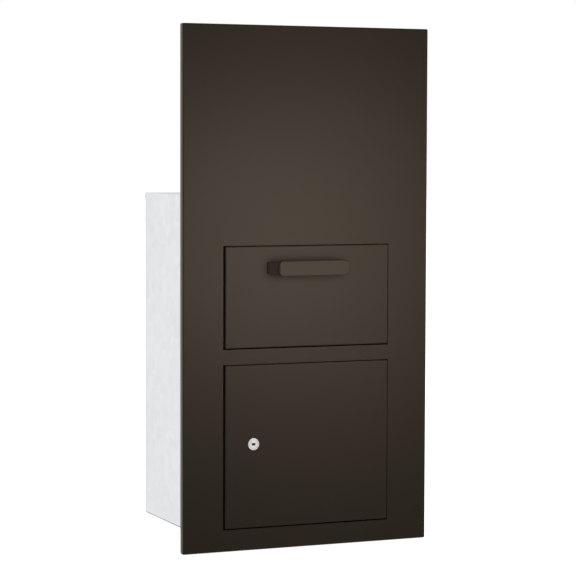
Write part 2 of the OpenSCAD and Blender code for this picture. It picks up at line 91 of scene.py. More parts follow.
class Finish:
    def __init__(self, name):
        self.material = bpy.data.materials.new(name)
        self.material.use_nodes = True
        self.tree = self.material.node_tree
        self.shader = self.tree.nodes["Principled BSDF"]

    def feed(self, socket, value):
        if isinstance(value, Wire):
            self.tree.links.new(value.socket, socket)
        else:
            socket.default_value = value

    def add(self, kind, settings=None, sockets=None, out=0):
        node = self.tree.nodes.new("ShaderNode" + kind)
        for name, value in (settings or {}).items():
            setattr(node, name, value)
        for name, value in (sockets or {}).items():
            self.feed(node.inputs[name], value)
        return Wire(self, node.outputs[out])

    def maths(self, operation, first, second, clamp=False):
        return self.add("Math", {"operation": operation, "use_clamp": clamp}, {0: first, 1: second})

    def blend(self, mask, first, second):
        return self.add("Mix", {"data_type": "RGBA"}, {0: mask, 6: first, 7: second}, 2)

    def noise(self, place, scale, detail=2.0, rough=0.5):
        sockets = {"Vector": place, "Scale": scale, "Detail": detail, "Roughness": rough}
        return self.add("TexNoise", None, sockets, "Fac")

    def stretched(self, place, scale):
        return self.add("Mapping", None, {"Vector": place, "Scale": scale})

    def wear(self, start, gain):
        edge = self.add("NewGeometry", None, None, "Pointiness")  # above 0.5 on outside corners
        return ((edge - start) * gain).held()

    def bump(self, height, strength, depth, normal=None):
        sockets = {"Height": height, "Strength": strength, "Distance": depth}
        if normal:
            sockets["Normal"] = normal
        return self.add("Bump", None, sockets)

    def done(self, **sockets):
        for name, value in sockets.items():
            self.feed(self.shader.inputs[name.replace("_", " ")], value)
        return self.material


bronzeLook = {
    "deep": (0.060, 0.0445, 0.0325, 1), "pale": (0.078, 0.059, 0.044, 1),
    "edge": (0.155, 0.125, 0.095, 1), "rough": 0.42, "gloss": 0.35, "glossTint": (1.0, 0.84, 0.68, 1),
    "cloud": 4.0, "grain": 700.0, "peel": 260.0, "rub": 90.0,
}


def bronzeCoat():
    coat = Finish("bronzeCoat")
    place = coat.add("TexCoord", None, None, "Object")
    cloud = coat.noise(place, bronzeLook["cloud"], 3.0)
    grain = coat.noise(place, bronzeLook["grain"], 3.0, 0.6)
    peel = coat.noise(place, bronzeLook["peel"], 2.0)  # the skin of a sprayed powder coat
    colour = coat.blend((cloud * 0.7 + grain * 0.3).held(), bronzeLook["deep"], bronzeLook["pale"])
    rub = coat.wear(0.53, 9.0) * coat.noise(place, bronzeLook["rub"], 4.0, 0.7)
    colour = coat.blend((rub * 0.8).held(), colour, bronzeLook["edge"])
    roughness = bronzeLook["rough"] + cloud * 0.08 + grain * 0.05 - rub * 0.08
    skin = coat.bump(grain, 0.10, 0.05 * mm)
    skin = coat.bump(peel, 0.22, 0.12 * mm, skin)
    return coat.done(Base_Color=colour, Roughness=roughness, Normal=skin,
                     Specular_IOR_Level=bronzeLook["gloss"], Specular_Tint=bronzeLook["glossTint"])


# the edge grey darkens worn folds and also paints shade along the rear bend of the sides
sheetLook = {
    "dull": (0.62, 0.635, 0.65, 1), "bright": (0.83, 0.84, 0.855, 1), "stain": (0.46, 0.46, 0.455, 1),
    "edge": (0.30, 0.30, 0.30, 1), "sideFrom": 176.2 * mm, "bendLine": 6 * mm, "cutLine": 2.6 * mm,
    "rough": 0.34, "metal": 0.75, "crystal": 55.0, "cloud": 7.0, "lines": 900.0, "smudge": 18.0,
}


def millSheet():
    sheet = Finish("millSheet")
    place = sheet.add("TexCoord", None, None, "Object")
    crystal = {"Vector": place, "Scale": sheetLook["crystal"], "Randomness": 1.0}
    cells = sheet.add("TexVoronoi", {"feature": "F1"}, crystal, "Color")
    spangle = sheet.add("SeparateColor", None, {"Color": cells}, "Red")
    cloud = sheet.noise(place, sheetLook["cloud"], 4.0, 0.6)
    along = sheet.stretched(place, (1.0, 1.0, 0.02))  # rolling lines run up the sheet
    lines = sheet.noise(along, sheetLook["lines"], 2.0)
    mask = (cloud * 0.55 + spangle * 0.30 + lines * 0.15).held()
    colour = sheet.blend(mask, sheetLook["dull"], sheetLook["bright"])
    smudge = ((sheet.noise(place, sheetLook["smudge"], 5.0, 0.7) - 0.60) * 3.0).held()
    colour = sheet.blend(smudge * 0.35, colour, sheetLook["stain"])
    colour = sheet.blend(sheet.wear(0.54, 8.0) * 0.7, colour, sheetLook["edge"])  # handled folds go dull, and this darkening of the outside folds is also painted shade
    low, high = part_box("enclosure_wrap")
    parts = {name: sheet.add("SeparateXYZ", None, {"Vector": place}, name) for name in "XYZ"}
    sides = sheet.maths("GREATER_THAN", sheet.maths("ABSOLUTE", parts["X"], 0), sheetLook["sideFrom"])
    rearBend = sheet.maths("GREATER_THAN", parts["Y"], high.y - sheetLook["bendLine"])
    cutEdge = sheet.maths("LESS_THAN", parts["Z"], low.z + sheetLook["cutLine"])
    bendShadeAndBottomBand = (sides * (rearBend * 0.5 + cutEdge * 0.75)).held()  # painted shade along the rear bend of the sides, and a darker band along their bottom cut edge
    colour = sheet.blend(bendShadeAndBottomBand, colour, sheetLook["edge"])
    roughness = sheetLook["rough"] + spangle * 0.10 + cloud * 0.12 + smudge * 0.10
    skin = sheet.bump(lines, 0.10, 0.03 * mm)
    skin = sheet.bump(cloud, 0.12, 0.6 * mm, skin)
    return sheet.done(Base_Color=colour, Roughness=roughness, Metallic=sheetLook["metal"], Normal=skin)


zincLook = {
    "cool": (0.50, 0.52, 0.56, 1), "warm": (0.66, 0.63, 0.56, 1), "rough": 0.28,
    "cloud": 60.0, "grain": 1500.0,
}


def zincPlate():
    zinc = Finish("zincPlate")
    place = zinc.add("TexCoord", None, None, "Object")
    cloud = zinc.noise(place, zincLook["cloud"], 3.0)
    grain = zinc.noise(place, zincLook["grain"], 2.0)
    colour = zinc.blend(cloud, zincLook["cool"], zincLook["warm"])
    roughness = zincLook["rough"] + cloud * 0.15 + grain * 0.08
    skin = zinc.bump(grain, 0.12, 0.03 * mm)
    return zinc.done(Base_Color=colour, Roughness=roughness, Metallic=1.0, Normal=skin)


chromeLook = {
    "bright": (0.86, 0.855, 0.84, 1), "dull": (0.66, 0.655, 0.64, 1), "rough": 0.10,
    "haze": 220.0, "scratch": 2600.0,
}


def polishedChrome():
    chrome = Finish("polishedChrome")
    place = chrome.add("TexCoord", None, None, "Object")
    haze = chrome.noise(place, chromeLook["haze"], 4.0, 0.6)
    along = chrome.stretched(place, (1.0, 1.0, 0.06))
    scratch = chrome.noise(along, chromeLook["scratch"], 2.0)
    marks = ((scratch - 0.62) * 6.0).held()
    colour = chrome.blend((haze * 0.5 + marks * 0.3).held(), chromeLook["bright"], chromeLook["dull"])
    roughness = chromeLook["rough"] + haze * 0.12 + marks * 0.15
    skin = chrome.bump(marks, 0.08, 0.02 * mm)
    return chrome.done(Base_Color=colour, Roughness=roughness, Metallic=1.0, Normal=skin)


darkLook = {
    "black": (0.010, 0.009, 0.008, 1), "worn": (0.045, 0.040, 0.036, 1), "rough": 0.5, "gloss": 0.3,
    "cloud": 80.0, "grain": 1300.0, "rub": 240.0,
}


def darkSteel():
    steel = Finish("darkSteel")
    place = steel.add("TexCoord", None, None, "Object")
    cloud = steel.noise(place, darkLook["cloud"], 4.0, 0.6)
    grain = steel.noise(place, darkLook["grain"], 2.0)
    worn = steel.wear(0.53, 7.0) * steel.noise(place, darkLook["rub"], 3.0)
    colour = steel.blend((cloud * 0.5 + worn * 0.6).held(), darkLook["black"], darkLook["worn"])
    roughness = darkLook["rough"] + cloud * 0.12 - worn * 0.1
    skin = steel.bump(grain, 0.12, 0.04 * mm)
    return steel.done(
        Base_Color=colour, Roughness=roughness, Normal=skin, Specular_IOR_Level=darkLook["gloss"])


rubberLook = {
    "black": (0.012, 0.012, 0.013, 1), "dusty": (0.05, 0.05, 0.052, 1), "rough": 0.62,
    "dust": 140.0, "grain": 1800.0,
}


def blackRubber():
    rubber = Finish("blackRubber")
    place = rubber.add("TexCoord", None, None, "Object")
    dust = rubber.noise(place, rubberLook["dust"], 4.0, 0.65)
    grain = rubber.noise(place, rubberLook["grain"], 2.0)
    colour = rubber.blend((dust * 0.6).held(), rubberLook["black"], rubberLook["dusty"])
    roughness = rubberLook["rough"] + dust * 0.2 + grain * 0.08
    skin = rubber.bump(grain, 0.3, 0.05 * mm)
    return rubber.done(Base_Color=colour, Roughness=roughness, Normal=skin)


finishes = {
    "bronze_paint": bronzeCoat(), "galvanised_steel": millSheet(), "zinc_steel": zincPlate(),
    "dark_steel": darkSteel(), "chrome": polishedChrome(), "rubber": blackRubber(),
}
print("finishes made:", len(finishes))


slotOf = {row["node"]: row["material_slot"] for row in frame["record"]["subparts"]}
bodyOf = {node: body for body, nodes in frame["record"]["behaviour"]["bodies"].items() for node in nodes}


def rowNamed(rows, name):
    return next(row for row in rows if row["name"] == name)


def clearPick():
    if bpy.context.object and bpy.context.object.mode != "OBJECT":
        bpy.ops.object.mode_set(mode="OBJECT")
    bpy.ops.object.select_all(action="DESELECT")


def addBlock(name, low, high):
    clearPick()
    low, high = Vector(low), Vector(high)
    bpy.ops.mesh.primitive_cube_add(size=1, location=(low + high) / 2, scale=high - low)
    bpy.ops.object.transform_apply(location=True, rotation=True, scale=True)
    bpy.context.object.name = name
    return bpy.context.object


def addDisc(name, centre, radius, front, back, corners):
    clearPick()
    spot = (centre[0], (front + back) / 2, centre[2])
    bpy.ops.mesh.primitive_cylinder_add(
        vertices=corners, radius=radius, depth=back - front, location=spot, rotation=(math.pi / 2, 0, 0))
    bpy.ops.object.transform_apply(location=True, rotation=True, scale=True)
    bpy.context.object.name = name
    return bpy.context.object


def pick(piece, kind, test):
    if piece.mode != "EDIT":
        bpy.ops.object.mode_set(mode="EDIT")
    bpy.ops.mesh.select_mode(type=kind)
    bpy.ops.mesh.select_all(action="DESELECT")
    bpy.ops.object.mode_set(mode="OBJECT")
    mesh = piece.data
    if kind == "FACE":
        for face in mesh.polygons:
            face.select = test(face.center, face.normal)
    elif kind == "EDGE":
        for edge in mesh.edges:
            first, second = (mesh.vertices[i].co for i in edge.vertices)
            edge.select = test(first, second)
    else:
        for point in mesh.vertices:
            point.select = test(point.co)
    bpy.ops.object.mode_set(mode="EDIT")


def near(value, target, slack=0.02 * mm):
    return abs(value - target) < slack


def cutAcross(axis, spots):
    for spot in spots:
        bpy.ops.mesh.select_all(action="SELECT")
        place, way = [0, 0, 0], [0, 0, 0]
        place[axis], way[axis] = spot, 1
        bpy.ops.mesh.bisect(plane_co=place, plane_no=way)


def addModifier(piece, kind, **settings):
    modifier = piece.modifiers.new(kind.lower(), kind)
    for name, value in settings.items():
        setattr(modifier, name, value)
    bpy.ops.object.modifier_apply(modifier=modifier.name)


def joinPieces(pieces):
    clearPick()
    for piece in pieces:
        piece.select_set(True)
    bpy.context.view_layer.objects.active = pieces[0]
    bpy.ops.object.join()
    return pieces[0]


def carve(piece, tool, operation):
    # joins a tool to a piece or cuts it out of it, and drops the tool
    clearPick()
    piece.select_set(True)
    bpy.context.view_layer.objects.active = piece
    addModifier(piece, "BOOLEAN", operation=operation, object=tool, solver="EXACT")
    clearPick()
    tool.select_set(True)
    bpy.ops.object.delete()
    piece.select_set(True)
    bpy.context.view_layer.objects.active = piece


def softenRims(piece, width, steps=2):
    bpy.ops.object.mode_set(mode="OBJECT")
    addModifier(piece, "BEVEL", width=width, segments=steps, limit_method="ANGLE",
                angle_limit=math.radians(40), harden_normals=False)


def turned(name, spot, way, stations, corners=32):
    # a round bar along the way, drawn on through each (distance, radius)
    clearPick()
    axis = [abs(part) for part in way].index(1)
    sign = way[axis]
    (start, radius), (end, _) = stations[:2]
    centre = Vector(spot) + Vector(way) * (start + end) / 2
    turn = {0: (0, math.pi / 2, 0), 1: (math.pi / 2, 0, 0), 2: (0, 0, 0)}[axis]
    bpy.ops.mesh.primitive_cylinder_add(
        vertices=corners, radius=radius, depth=end - start, location=centre, rotation=turn)
    bpy.ops.object.transform_apply(location=True, rotation=True, scale=True)
    piece = bpy.context.object
    piece.name = name
    pick(piece, "FACE", lambda place, normal: normal[axis] * sign > 0.99)
    for (near1, wide1), (near2, wide2) in zip(stations[1:], stations[2:]):
        if near2 > near1:
            step = Vector(way) * (near2 - near1)
            bpy.ops.mesh.extrude_region_move(TRANSFORM_OT_translate={"value": step})
            grow = [wide2 / wide1] * 3
            grow[axis] = 1
            bpy.ops.transform.resize(value=grow, center_override=Vector(spot) + Vector(way) * near2)
        else:
            bpy.ops.mesh.inset(thickness=wide1 - wide2)
    bpy.ops.object.mode_set(mode="OBJECT")
    return piece


def settle(piece, node, smooth=32):
    if piece.mode != "OBJECT":
        bpy.ops.object.mode_set(mode="OBJECT")
    bpy.ops.object.shade_smooth_by_angle(angle=math.radians(smooth))
    addModifier(piece, "WEIGHTED_NORMAL", keep_sharp=True, weight=90)
    piece.data.materials.clear()
    piece.data.materials.append(finishes[slotOf[node]])
    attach(piece, bodyOf[node])
    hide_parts(node)
    print("made", piece.name, len(piece.data.polygons), "faces")
    return piece


sheetWork = {
    "sheet": 2 * mm, "panelFold": 3 * mm, "doorFold": 2.4 * mm, "wrapBend": 3 * mm, "lidFold": 2.6 * mm,
    "rim": 0.35 * mm, "steps": 6,
}
# between each door and its opening
gaps = {"left": 3.2 * mm, "right": 1.2 * mm, "accessLow": 2.2 * mm, "accessHigh": 1.2 * mm,
        "dropLow": 2 * mm, "dropHigh": 1.2 * mm}


def foldedShell(name, low, high, fold, openSide):
    # a block without its back, its other edges folded round
    shell = addBlock(name, low, high)
    pick(shell, "FACE", lambda spot, way: way.dot(Vector(openSide)) > 0.9)
    bpy.ops.mesh.delete(type="ONLY_FACE")
    axis = [abs(part) for part in openSide].index(1)
    brim = high[axis] if openSide[axis] > 0 else low[axis]
    pick(shell, "EDGE", lambda a, b: not (near(a[axis], brim) and near(b[axis], brim)))
    bpy.ops.mesh.bevel(offset=fold, segments=sheetWork["steps"], affect="EDGES")
    return shell


def thicken(shell, thickness):
    bpy.ops.object.mode_set(mode="OBJECT")
    addModifier(shell, "SOLIDIFY", thickness=thickness, offset=-1, use_even_offset=True)
    softenRims(shell, sheetWork["rim"])


def makeFacePanel():
    low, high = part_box("face_panel")
    access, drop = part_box("access_door"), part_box("drop_door")
    left = access[0].x - gaps["left"]
    right = access[1].x + gaps["right"]
    heights = (access[0].z - gaps["accessLow"], access[1].z + gaps["accessHigh"],
               drop[0].z - gaps["dropLow"], drop[1].z + gaps["dropHigh"])
    panel = foldedShell("facePanel", low, high, sheetWork["panelFold"], (0, 1, 0))
    cutAcross(0, (left, right))
    cutAcross(2, heights)

    def inWindow(spot, way):
        tall = heights[0] < spot.z < heights[1] or heights[2] < spot.z < heights[3]
        return way.y < -0.9 and left < spot.x < right and tall
    pick(panel, "FACE", inWindow)
    bpy.ops.mesh.delete(type="FACE")
    thicken(panel, sheetWork["sheet"])
    return settle(panel, "face_panel")


def makeDoor(name, node):
    low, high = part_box(node)
    door = foldedShell(name, low, high, sheetWork["doorFold"], (0, 1, 0))
    thicken(door, sheetWork["sheet"])
    return settle(door, node)


def sideHoles():
    mount = rowNamed(frame["record"]["mounts"], "side_holes_right")
    spot, sizes = Vector(mount["pos_m"]), mount["dims"]
    across, up, radius = (sizes[key] * mm for key in ("spacing_x_mm", "spacing_y_mm", "hole_r_mm"))
    return (spot.y - across / 2, spot.y + across / 2), (spot.z - up / 2, spot.z + up / 2), radius


def boreSides(wrap):
    # the screw holes through both sides
    low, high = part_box("enclosure_wrap")
    ys, zs, radius = sideHoles()
    bar = [(0, radius), (high.x - low.x + 2 * radius, radius)]
    for y in ys:
        for z in zs:
            carve(wrap, turned("bore", (low.x - radius, y, z), (1, 0, 0), bar), "DIFFERENCE")


def makeWrap():
    low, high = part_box("enclosure_wrap")
    thick = sheetWork["sheet"]
    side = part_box("enclosure_floor")[1].x + thick
    front = low.y + thick
    wrap = addBlock("enclosureWrap", (-side, front, low.z), (side, high.y, high.z))
    pick(wrap, "FACE", lambda spot, way: way.y < -0.9 or abs(way.z) > 0.9)
    bpy.ops.mesh.delete(type="ONLY_FACE")
    bpy.ops.mesh.select_all(action="SELECT")
    bpy.ops.mesh.delete_loose()  # the two edges left across the front
    pick(wrap, "EDGE", lambda a, b: near(a.y, high.y) and near(b.y, high.y) and near(a.x, b.x))
    bpy.ops.mesh.bevel(offset=sheetWork["wrapBend"], segments=sheetWork["steps"], affect="EDGES")
    for way in (-1, 1):  # flanges turned out along both front edges
        def onFront(a, b):
            return near(a.y, front) and near(b.y, front) and a.x * way > 0 and near(a.x, b.x)
        pick(wrap, "EDGE", onFront)
        bpy.ops.mesh.extrude_edges_move(TRANSFORM_OT_translate={"value": (way * (high.x - side), 0, 0)})
    ys, zs, radius = sideHoles()
    for axis, spots in ((1, ys), (2, zs)):  # a small square round each hole, so the rest stays flat
        cutAcross(axis, [spot + way * 2 * radius for spot in spots for way in (-1, 1)])
    thicken(wrap, thick)
    boreSides(wrap)
    return settle(wrap, "enclosure_wrap")


def makeTop():
    low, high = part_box("enclosure_top")
    top = foldedShell("enclosureTop", low, high, sheetWork["lidFold"], (0, 0, -1))
    thicken(top, sheetWork["sheet"])
    return settle(top, "enclosure_top")


makeFacePanel()
makeDoor("dropDoorPan", "drop_door")
makeDoor("accessDoorPan", "access_door")
makeTop()


pull = {
    "plateHalf": 68 * mm, "plateDeep": 8 * mm, "corner": 8 * mm, "frontEdge": 2.2 * mm, "lip": 2 * mm,
    "hollow": 5 * mm, "legIn": 56 * mm, "legThick": 5.5 * mm, "legTall": 20.5 * mm, "footIn": 63.5 * mm,
    "footOut": 77.5 * mm, "footDeep": 5 * mm, "legStart": 2 * mm, "legRim": 0.9 * mm, "plateRim": 0.4 * mm,
    "cornerSteps": 10, "edgeSteps": 6, "legSteps": 3,
}


def makeLeg(name, side, centre, front, back):
    half = pull["legTall"] / 2
    start, end = front + pull["legStart"], back - pull["footDeep"]
    inner, outer = pull["legIn"], pull["legIn"] + pull["legThick"]
    ends = sorted((centre.x + side * inner, centre.x + side * outer))
    leg = addBlock(name, (ends[0], start, centre.z - half), (ends[1], end, centre.z + half))
    pick(leg, "FACE", lambda spot, way: way.y > 0.9)  # the far end swings out to the foot
    reach = side * (pull["footOut"] - outer)
    bpy.ops.transform.translate(value=(reach, 0, 0))
    bpy.ops.mesh.extrude_region_move(TRANSFORM_OT_translate={"value": (0, pull["footDeep"], 0)})
    pick(leg, "FACE", lambda spot, way: way.x * side < -0.9 and spot.y > end)
    toe = side * (pull["footOut"] - pull["legThick"] - pull["footIn"])
    bpy.ops.mesh.extrude_region_move(TRANSFORM_OT_translate={"value": (-toe, 0, 0)})
    softenRims(leg, pull["legRim"], pull["legSteps"])
    return leg


def makeHandle():
    low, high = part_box("handle")
    centre = (low + high) / 2
    plateHalf = pull["plateHalf"]
    plate = addBlock("pullHandle", (centre.x - plateHalf, low.y, low.z),
                     (centre.x + plateHalf, low.y + pull["plateDeep"], high.z))
    pick(plate, "EDGE", lambda a, b: not near(a.y, b.y))
    bpy.ops.mesh.bevel(offset=pull["corner"], segments=pull["cornerSteps"], affect="EDGES")
    pick(plate, "EDGE", lambda a, b: near(a.y, low.y) and near(b.y, low.y))
    bpy.ops.mesh.bevel(offset=pull["frontEdge"], segments=pull["edgeSteps"], affect="EDGES")
    pick(plate, "FACE", lambda spot, way: way.y > 0.9)
    bpy.ops.mesh.inset(thickness=pull["lip"])
    bpy.ops.mesh.extrude_region_move(TRANSFORM_OT_translate={"value": (0, -pull["hollow"], 0)})
    softenRims(plate, pull["plateRim"])
    legs = [makeLeg("leg", side, centre, low.y, high.y) for side in (-1, 1)]
    return settle(joinPieces([plate, *legs]), "handle")


makeHandle()


lockWork = {
    "chamfer": 0.9 * mm, "rimWide": 2.6 * mm, "dish": 0.45 * mm, "bore": 6.05 * mm, "barrel": 9.5 * mm,
    "step": 0.5 * mm, "flats": 16 * mm, "threadPitch": 1.5 * mm, "threadDeep": 0.45 * mm,
    "root": 0.4 * mm, "past": 1 * mm, "corners": 96, "chamferSteps": 5,
}


def makeBarrel(centre, back, end):
    # ringed like a thread, with two flats
    pitch, barrel = lockWork["threadPitch"], lockWork["barrel"]
    piece = addDisc("barrel", centre, barrel, back - lockWork["root"], back, lockWork["corners"])
    pick(piece, "FACE", lambda spot, way: way.y > 0.99)
    turns = int((end - back) / pitch)
    squeeze = 1 - lockWork["threadDeep"] / barrel
    for turn in range(turns):
        bpy.ops.mesh.extrude_region_move(TRANSFORM_OT_translate={"value": (0, pitch / 2, 0)})
        size = squeeze if turn % 2 == 0 else 1 / squeeze
        bpy.ops.transform.resize(value=(size, 1, size), center_override=(centre.x, back, centre.z))
        bpy.ops.mesh.extrude_region_move(TRANSFORM_OT_translate={"value": (0, pitch / 2, 0)})
    bpy.ops.mesh.extrude_region_move(TRANSFORM_OT_translate={"value": (0, end - back - turns * pitch, 0)})
    for way in (-1, 1):
        bpy.ops.mesh.select_all(action="SELECT")
        place = (centre.x, centre.y, centre.z + way * lockWork["flats"] / 2)
        bpy.ops.mesh.bisect(plane_co=place, plane_no=(0, 0, way), use_fill=True, clear_outer=True)
    bpy.ops.object.mode_set(mode="OBJECT")
    return piece


def makeLockBody():
    low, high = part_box("lock_body")
    centre = (low + high) / 2
    radius = (high.x - low.x) / 2
    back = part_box("access_door")[0].y
    body = addDisc("lockBody", centre, radius, low.y, back, lockWork["corners"])
    pick(body, "EDGE", lambda a, b: near(a.y, low.y) and near(b.y, low.y))
    bpy.ops.mesh.bevel(offset=lockWork["chamfer"], segments=lockWork["chamferSteps"], affect="EDGES")
    pick(body, "FACE", lambda spot, way: way.y < -0.99)
    bpy.ops.mesh.inset(thickness=lockWork["rimWide"] - lockWork["chamfer"])
    bpy.ops.mesh.inset(thickness=lockWork["step"])
    bpy.ops.transform.translate(value=(0, lockWork["dish"], 0))
    bpy.ops.object.mode_set(mode="OBJECT")
    carve(body, makeBarrel(centre, back, high.y), "UNION")
    past = lockWork["past"]  # the bore's tool stands out at both ends
    bore = addDisc("bore", centre, lockWork["bore"], low.y - past, high.y + past, lockWork["corners"])
    carve(body, bore, "DIFFERENCE")
    return settle(body, "lock_body", 40)


makeLockBody()

bentWork = {
    "fold": 2 * mm, "foldSteps": 4, "rim": 0.3 * mm, "panelCrown": 12 * mm, "doorCrown": 13 * mm,
    "stopLeft": -146 * mm, "doorStopRight": 78 * mm, "hopperStopRight": 146 * mm,
    "doorLap": 11 * mm, "hopperLap": 15 * mm,
}


def bentSheet(name, axis, low, high, path):
    # an edge that runs along the axis, drawn out through each fold of the path
    clearPick()
    length = high - low
    bpy.ops.mesh.primitive_plane_add(size=length, rotation=(0, math.pi / 2, 0) if axis == 2 else (0, 0, 0))
    bpy.ops.object.transform_apply(location=True, rotation=True, scale=True)
    sheet = bpy.context.object
    sheet.name = name
    pick(sheet, "VERT", lambda spot: spot.y > 0)
    bpy.ops.mesh.delete(type="VERT")
    others = [side for side in range(3) if side != axis]
    start = [0, 0, 0]
    start[axis] = (low + high) / 2
    start[others[0]], start[others[1]] = path[0]
    start[1] += length / 2
    bpy.ops.mesh.select_mode(type="EDGE")
    bpy.ops.mesh.select_all(action="SELECT")
    bpy.ops.transform.translate(value=start)
    for first, second in zip(path, path[1:]):
        move = [0, 0, 0]
        move[others[0]], move[others[1]] = second[0] - first[0], second[1] - first[1]
        bpy.ops.mesh.extrude_edges_move(TRANSFORM_OT_translate={"value": move})

    def onFold(a, b):
        flat = near(a[others[0]], b[others[0]]) and near(a[others[1]], b[others[1]])
        return flat and any(near(a[others[0]], u) and near(a[others[1]], v) for u, v in path[1:-1])
    if len(path) > 2:
        pick(sheet, "EDGE", onFold)
        bpy.ops.mesh.bevel(offset=bentWork["fold"], segments=bentWork["foldSteps"], affect="EDGES")
    bpy.ops.mesh.select_all(action="SELECT")
    bpy.ops.mesh.normals_make_consistent(inside=False)
    bpy.ops.object.mode_set(mode="OBJECT")
    addModifier(sheet, "SOLIDIFY", thickness=sheetWork["sheet"], offset=0, use_even_offset=True)
    softenRims(sheet, bentWork["rim"])
    return sheet


def makeHat(name, node, crown):
    low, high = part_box(node)
    half = sheetWork["sheet"] / 2
    middle = (low.x + high.x) / 2
    foot, top = low.y + half, high.y - half
    path = [(low.x, foot), (middle - crown, foot), (middle - crown, top),
            (middle + crown, top), (middle + crown, foot), (high.x, foot)]
    return settle(bentSheet(name, 2, low.z, high.z, path), node)


def makeJamb(name, node, way):
    low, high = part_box(node)
    half = sheetWork["sheet"] / 2
    outer, web = (low.x, high.x - half) if way < 0 else (high.x, low.x + half)
    path = [(outer, low.y + half), (web, low.y + half), (web, high.y - half), (outer, high.y - half)]
    return settle(bentSheet(name, 2, low.z, high.z, path), node)


def makeRail(name, node, path, stopPath, stopRight):
    low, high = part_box(node)
    rail = bentSheet(name, 0, low.x, high.x, path)
    stop = bentSheet("stop", 0, bentWork["stopLeft"], stopRight, stopPath)
    return settle(joinPieces([rail, stop]), node)


def makeRails():
    half = sheetWork["sheet"] / 2
    low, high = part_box("mid_rail")
    front, back, foot, top = low.y + half, high.y - half, low.z + bentWork["doorLap"] + half, high.z - half
    makeRail("midRail", "mid_rail", [(back + half, foot), (front, foot), (front, top), (back + half, top)],
             [(back, low.z), (back, foot + half)], bentWork["doorStopRight"])
    low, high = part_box("head_rail")
    front, back, foot = low.y + half, high.y - half, low.z + bentWork["hopperLap"] + half
    makeRail("headRail", "head_rail", [(front, high.z), (front, foot), (back + half, foot)],
             [(back, low.z), (back, foot + half)], bentWork["hopperStopRight"])
    low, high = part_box("sill_rail")
    front, back, top = low.y + half, high.y - half, high.z - bentWork["doorLap"] - half
    makeRail("sillRail", "sill_rail", [(front, low.z), (front, top), (back + half, top)],
             [(back, top - half), (back, high.z)], bentWork["doorStopRight"])


makeHat("stiffenerLeft", "stiffener_left", bentWork["panelCrown"])
makeHat("stiffenerRight", "stiffener_right", bentWork["panelCrown"])
makeHat("doorStiffener", "access_door_stiffener", bentWork["doorCrown"])
makeJamb("jambLeft", "jamb_left", -1)
makeJamb("jambRight", "jamb_right", 1)
makeRails()

roundWork = {
    "studRadius": 2.5 * mm, "studPitch": 1.0 * mm, "studThread": 0.25 * mm, "nutChamfer": 0.5 * mm,
    "fixings": 5, "rivetAlong": (30 * mm, 85 * mm, 140 * mm), "rivetUp": 15 * mm, "trayFall": 30,
    "rivetShank": 2 * mm, "rivetHead": 3.5 * mm, "headTall": 1 * mm, "grip": 4 * mm,
    "studPlain": 1.5 * mm, "studTail": 0.4 * mm, "studTip": 0.6 * mm, "studCorners": 24,
    "padRadius": 4 * mm, "padDome": 1.2 * mm, "padCorners": 40,
}


def spread(low, high, count):
    return [low + (high - low) * i / (count - 1) for i in range(count)]


def copyTo(piece, spots, start):
    copies = []
    for spot in spots:
        clearPick()
        piece.select_set(True)
        bpy.context.view_layer.objects.active = piece
        bpy.ops.object.duplicate()
        bpy.ops.transform.translate(value=Vector(spot) - Vector(start))
        bpy.ops.object.transform_apply(location=True, rotation=False, scale=False)
        copies.append(bpy.context.object)
    clearPick()
    piece.select_set(True)
    bpy.ops.object.delete()
    return joinPieces(copies)


def makeFixings():
    low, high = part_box("panel_studs")
    radius, pitch = roundWork["studRadius"], roundWork["studPitch"]
    spot = roundWork["studPlain"]
    stations = [(0, radius), (spot, radius)]
    while spot + pitch < high.y - low.y - roundWork["studTail"]:
        stations += [(spot + pitch / 2, radius - roundWork["studThread"]), (spot + pitch, radius)]
        spot += pitch
    stations.append((high.y - low.y, radius - roundWork["studTip"]))
    places = [(x, low.y, z) for x in (low.x + radius, high.x - radius)
              for z in spread(low.z + radius, high.z - radius, roundWork["fixings"])]
    stud = turned("stud", places[0], (0, 1, 0), stations, roundWork["studCorners"])
    studs = copyTo(stud, places, places[0])
    studs.name = "panelStuds"
    settle(studs, "panel_studs", 50)


def makeNuts():
    low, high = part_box("panel_nuts")
    studLow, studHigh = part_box("panel_studs")
    radius, chamfer = roundWork["studRadius"], roundWork["nutChamfer"]
    heights = spread(studLow.z + radius, studHigh.z - radius, roundWork["fixings"])
    places = [(x, low.y, z) for x in (studLow.x + radius, studHigh.x - radius) for z in heights]
    corner = high.x - places[-1][0]
    tall = high.y - low.y
    turn = [(0, corner), (tall - chamfer, corner), (tall, corner - 1.5 * chamfer)]
    nut = turned("nut", places[0], (0, 1, 0), turn, 6)
    bpy.ops.object.mode_set(mode="EDIT")
    bpy.ops.mesh.select_all(action="SELECT")
    # corners to the sides
    bpy.ops.transform.rotate(value=math.pi / 6, orient_axis="Y", center_override=places[0])
    bpy.ops.object.mode_set(mode="OBJECT")
    nuts = copyTo(nut, places, places[0])
    nuts.name = "panelNuts"
    settle(nuts, "panel_nuts", 25)


def makeBumpers(name, node, columns, rows):
    low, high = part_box(node)
    radius = (high.z - low.z) / 2 if rows == 1 else roundWork["padRadius"]
    length = high.y - low.y
    dome = min(roundWork["padDome"], length * 0.45)
    turn = [(0, radius), (length - dome, radius), (length - dome * 0.45, radius * 0.93),
            (length, radius * 0.72)]
    heights = [(low.z + high.z) / 2] if rows == 1 else spread(low.z + radius, high.z - radius, rows)
    way = -1 if node != "hopper_stop_bumpers" else 1
    base = high.y if way < 0 else low.y
    places = [(x, base, z) for x in spread(low.x + radius, high.x - radius, columns) for z in heights]
    pad = turned("pad", places[0], (0, way, 0), turn, roundWork["padCorners"])
    pads = copyTo(pad, places, places[0])
    pads.name = name
    settle(pads, node, 35)


